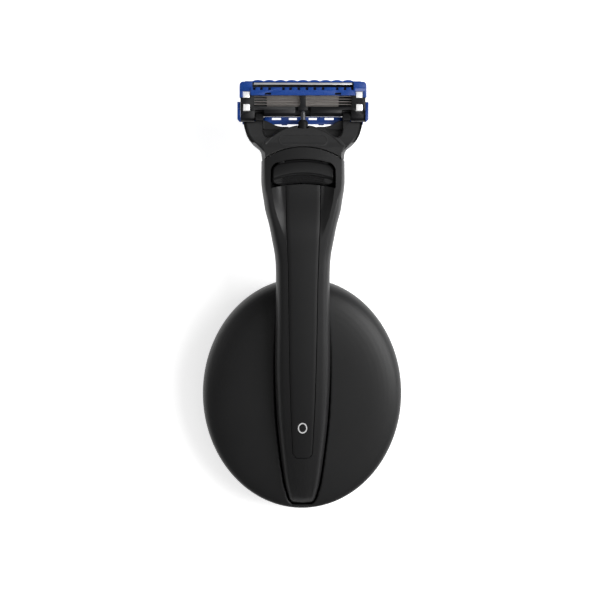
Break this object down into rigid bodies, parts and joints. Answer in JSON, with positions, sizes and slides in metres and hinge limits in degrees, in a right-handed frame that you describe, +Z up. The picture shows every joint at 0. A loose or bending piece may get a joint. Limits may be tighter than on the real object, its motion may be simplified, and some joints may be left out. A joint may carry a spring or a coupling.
{
  "type": "cartridge razor",
  "caption": "Wet-shaving cartridge razor lying in its weighted oval stand, with a pivoting sprung blade cartridge and a sliding release button.",
  "frame": {"origin": "centre of the stand's underside", "axes": "+X across the handle to the right, +Y along the handle towards the razor head, +Z up out of the stand"},
  "size_m": [0.0648, 0.1383, 0.0378],
  "materials": {
    "shell_black": "soft-touch matte black lacquer over moulded plastic",
    "inlay_black": "fine satin black strip",
    "button_black": "soft-touch matte black with fine grip ribs",
    "connector_black": "soft-touch matte black",
    "mechanism_black": "plain moulded acetal",
    "plate_black": "plain moulded plastic",
    "foot_rubber": "soft non-slip pad",
    "ballast_steel": "cast ballast, unfinished",
    "handle_ballast": "turned and milled bar, unfinished",
    "screw_steel": "zinc-plated",
    "spring_steel": "drawn spring wire",
    "plunger_grey": "polished acetal",
    "cartridge_black": "satin moulded black",
    "cartridge_blue": "satin translucent-looking blue",
    "fin_rubber": "soft elastomer fins",
    "strip_lube": "waxy pale strip",
    "blade_steel": "ground stainless blade steel",
    "support_steel": "stamped stainless strip",
    "trimmer_steel": "ground stainless",
    "clip_metal": "bright soft aluminium"
  },
  "bodies": {
    "stand": {"stand_shell": "shell_black", "stand_base_plate": "plate_black", "stand_weight": "ballast_steel", "stand_foot_pad": "foot_rubber", "stand_screws": "screw_steel"},
    "handle": {"handle_top_shell": "shell_black", "handle_bottom_shell": "shell_black", "handle_inlay": "inlay_black", "handle_weight": "handle_ballast", "handle_screws": "screw_steel", "docking_nose": "mechanism_black", "plunger_spring": "spring_steel", "eject_spring": "spring_steel"},
    "ejector": {"eject_button": "button_black", "pusher_fork": "mechanism_black"},
    "plunger": {"return_plunger": "plunger_grey"},
    "connector": {"connector_yoke": "connector_black"},
    "cartridge": {"cartridge_frame": "cartridge_black", "guard_bar": "cartridge_blue", "guard_fin_strip": "fin_rubber", "cap_cover": "cartridge_blue", "lubricating_strip": "strip_lube", "trimmer_blade": "trimmer_steel", "blade_1": "blade_steel", "blade_2": "blade_steel", "blade_3": "blade_steel", "blade_4": "blade_steel", "blade_5": "blade_steel", "blade_support_1": "support_steel", "blade_support_2": "support_steel", "blade_support_3": "support_steel", "blade_support_4": "support_steel", "blade_support_5": "support_steel", "clip_left": "clip_metal", "clip_right": "clip_metal"}
  },
  "joints": [
    {"name": "razor_lift", "type": "slide", "parent": "stand", "child": "handle", "axis": [0, 0, 1], "range_m": [0, 0.05]},
    {"name": "eject_slide", "type": "slide", "parent": "handle", "child": "ejector", "axis": [0, 1, 0], "range_m": [0, 0.003], "stiffness_N_per_m": 300, "springref_m": -0.002, "deforming": ["eject_spring"]},
    {"name": "cartridge_release", "type": "slide", "parent": "handle", "child": "connector", "axis": [0, 1, 0], "range_m": [0, 0.003]},
    {"name": "cartridge_pivot", "type": "hinge", "parent": "connector", "child": "cartridge", "pos_m": [0, 0.0891, 0.0284], "axis": [1, 0, 0], "range_deg": [0, 40], "stiffness_Nm_per_rad": 0.002, "springref_deg": -20.05},
    {"name": "plunger_slide", "type": "slide", "parent": "handle", "child": "plunger", "axis": [0, 1, 0], "range_m": [-0.0022, 0], "deforming": ["plunger_spring"]}
  ],
  "couplings": [
    {"joint": "cartridge_release", "follows": "eject_slide", "ratio": 1},
    {"joint": "plunger_slide", "follows": "cartridge_pivot", "m_per_rad": -0.003}
  ]
}
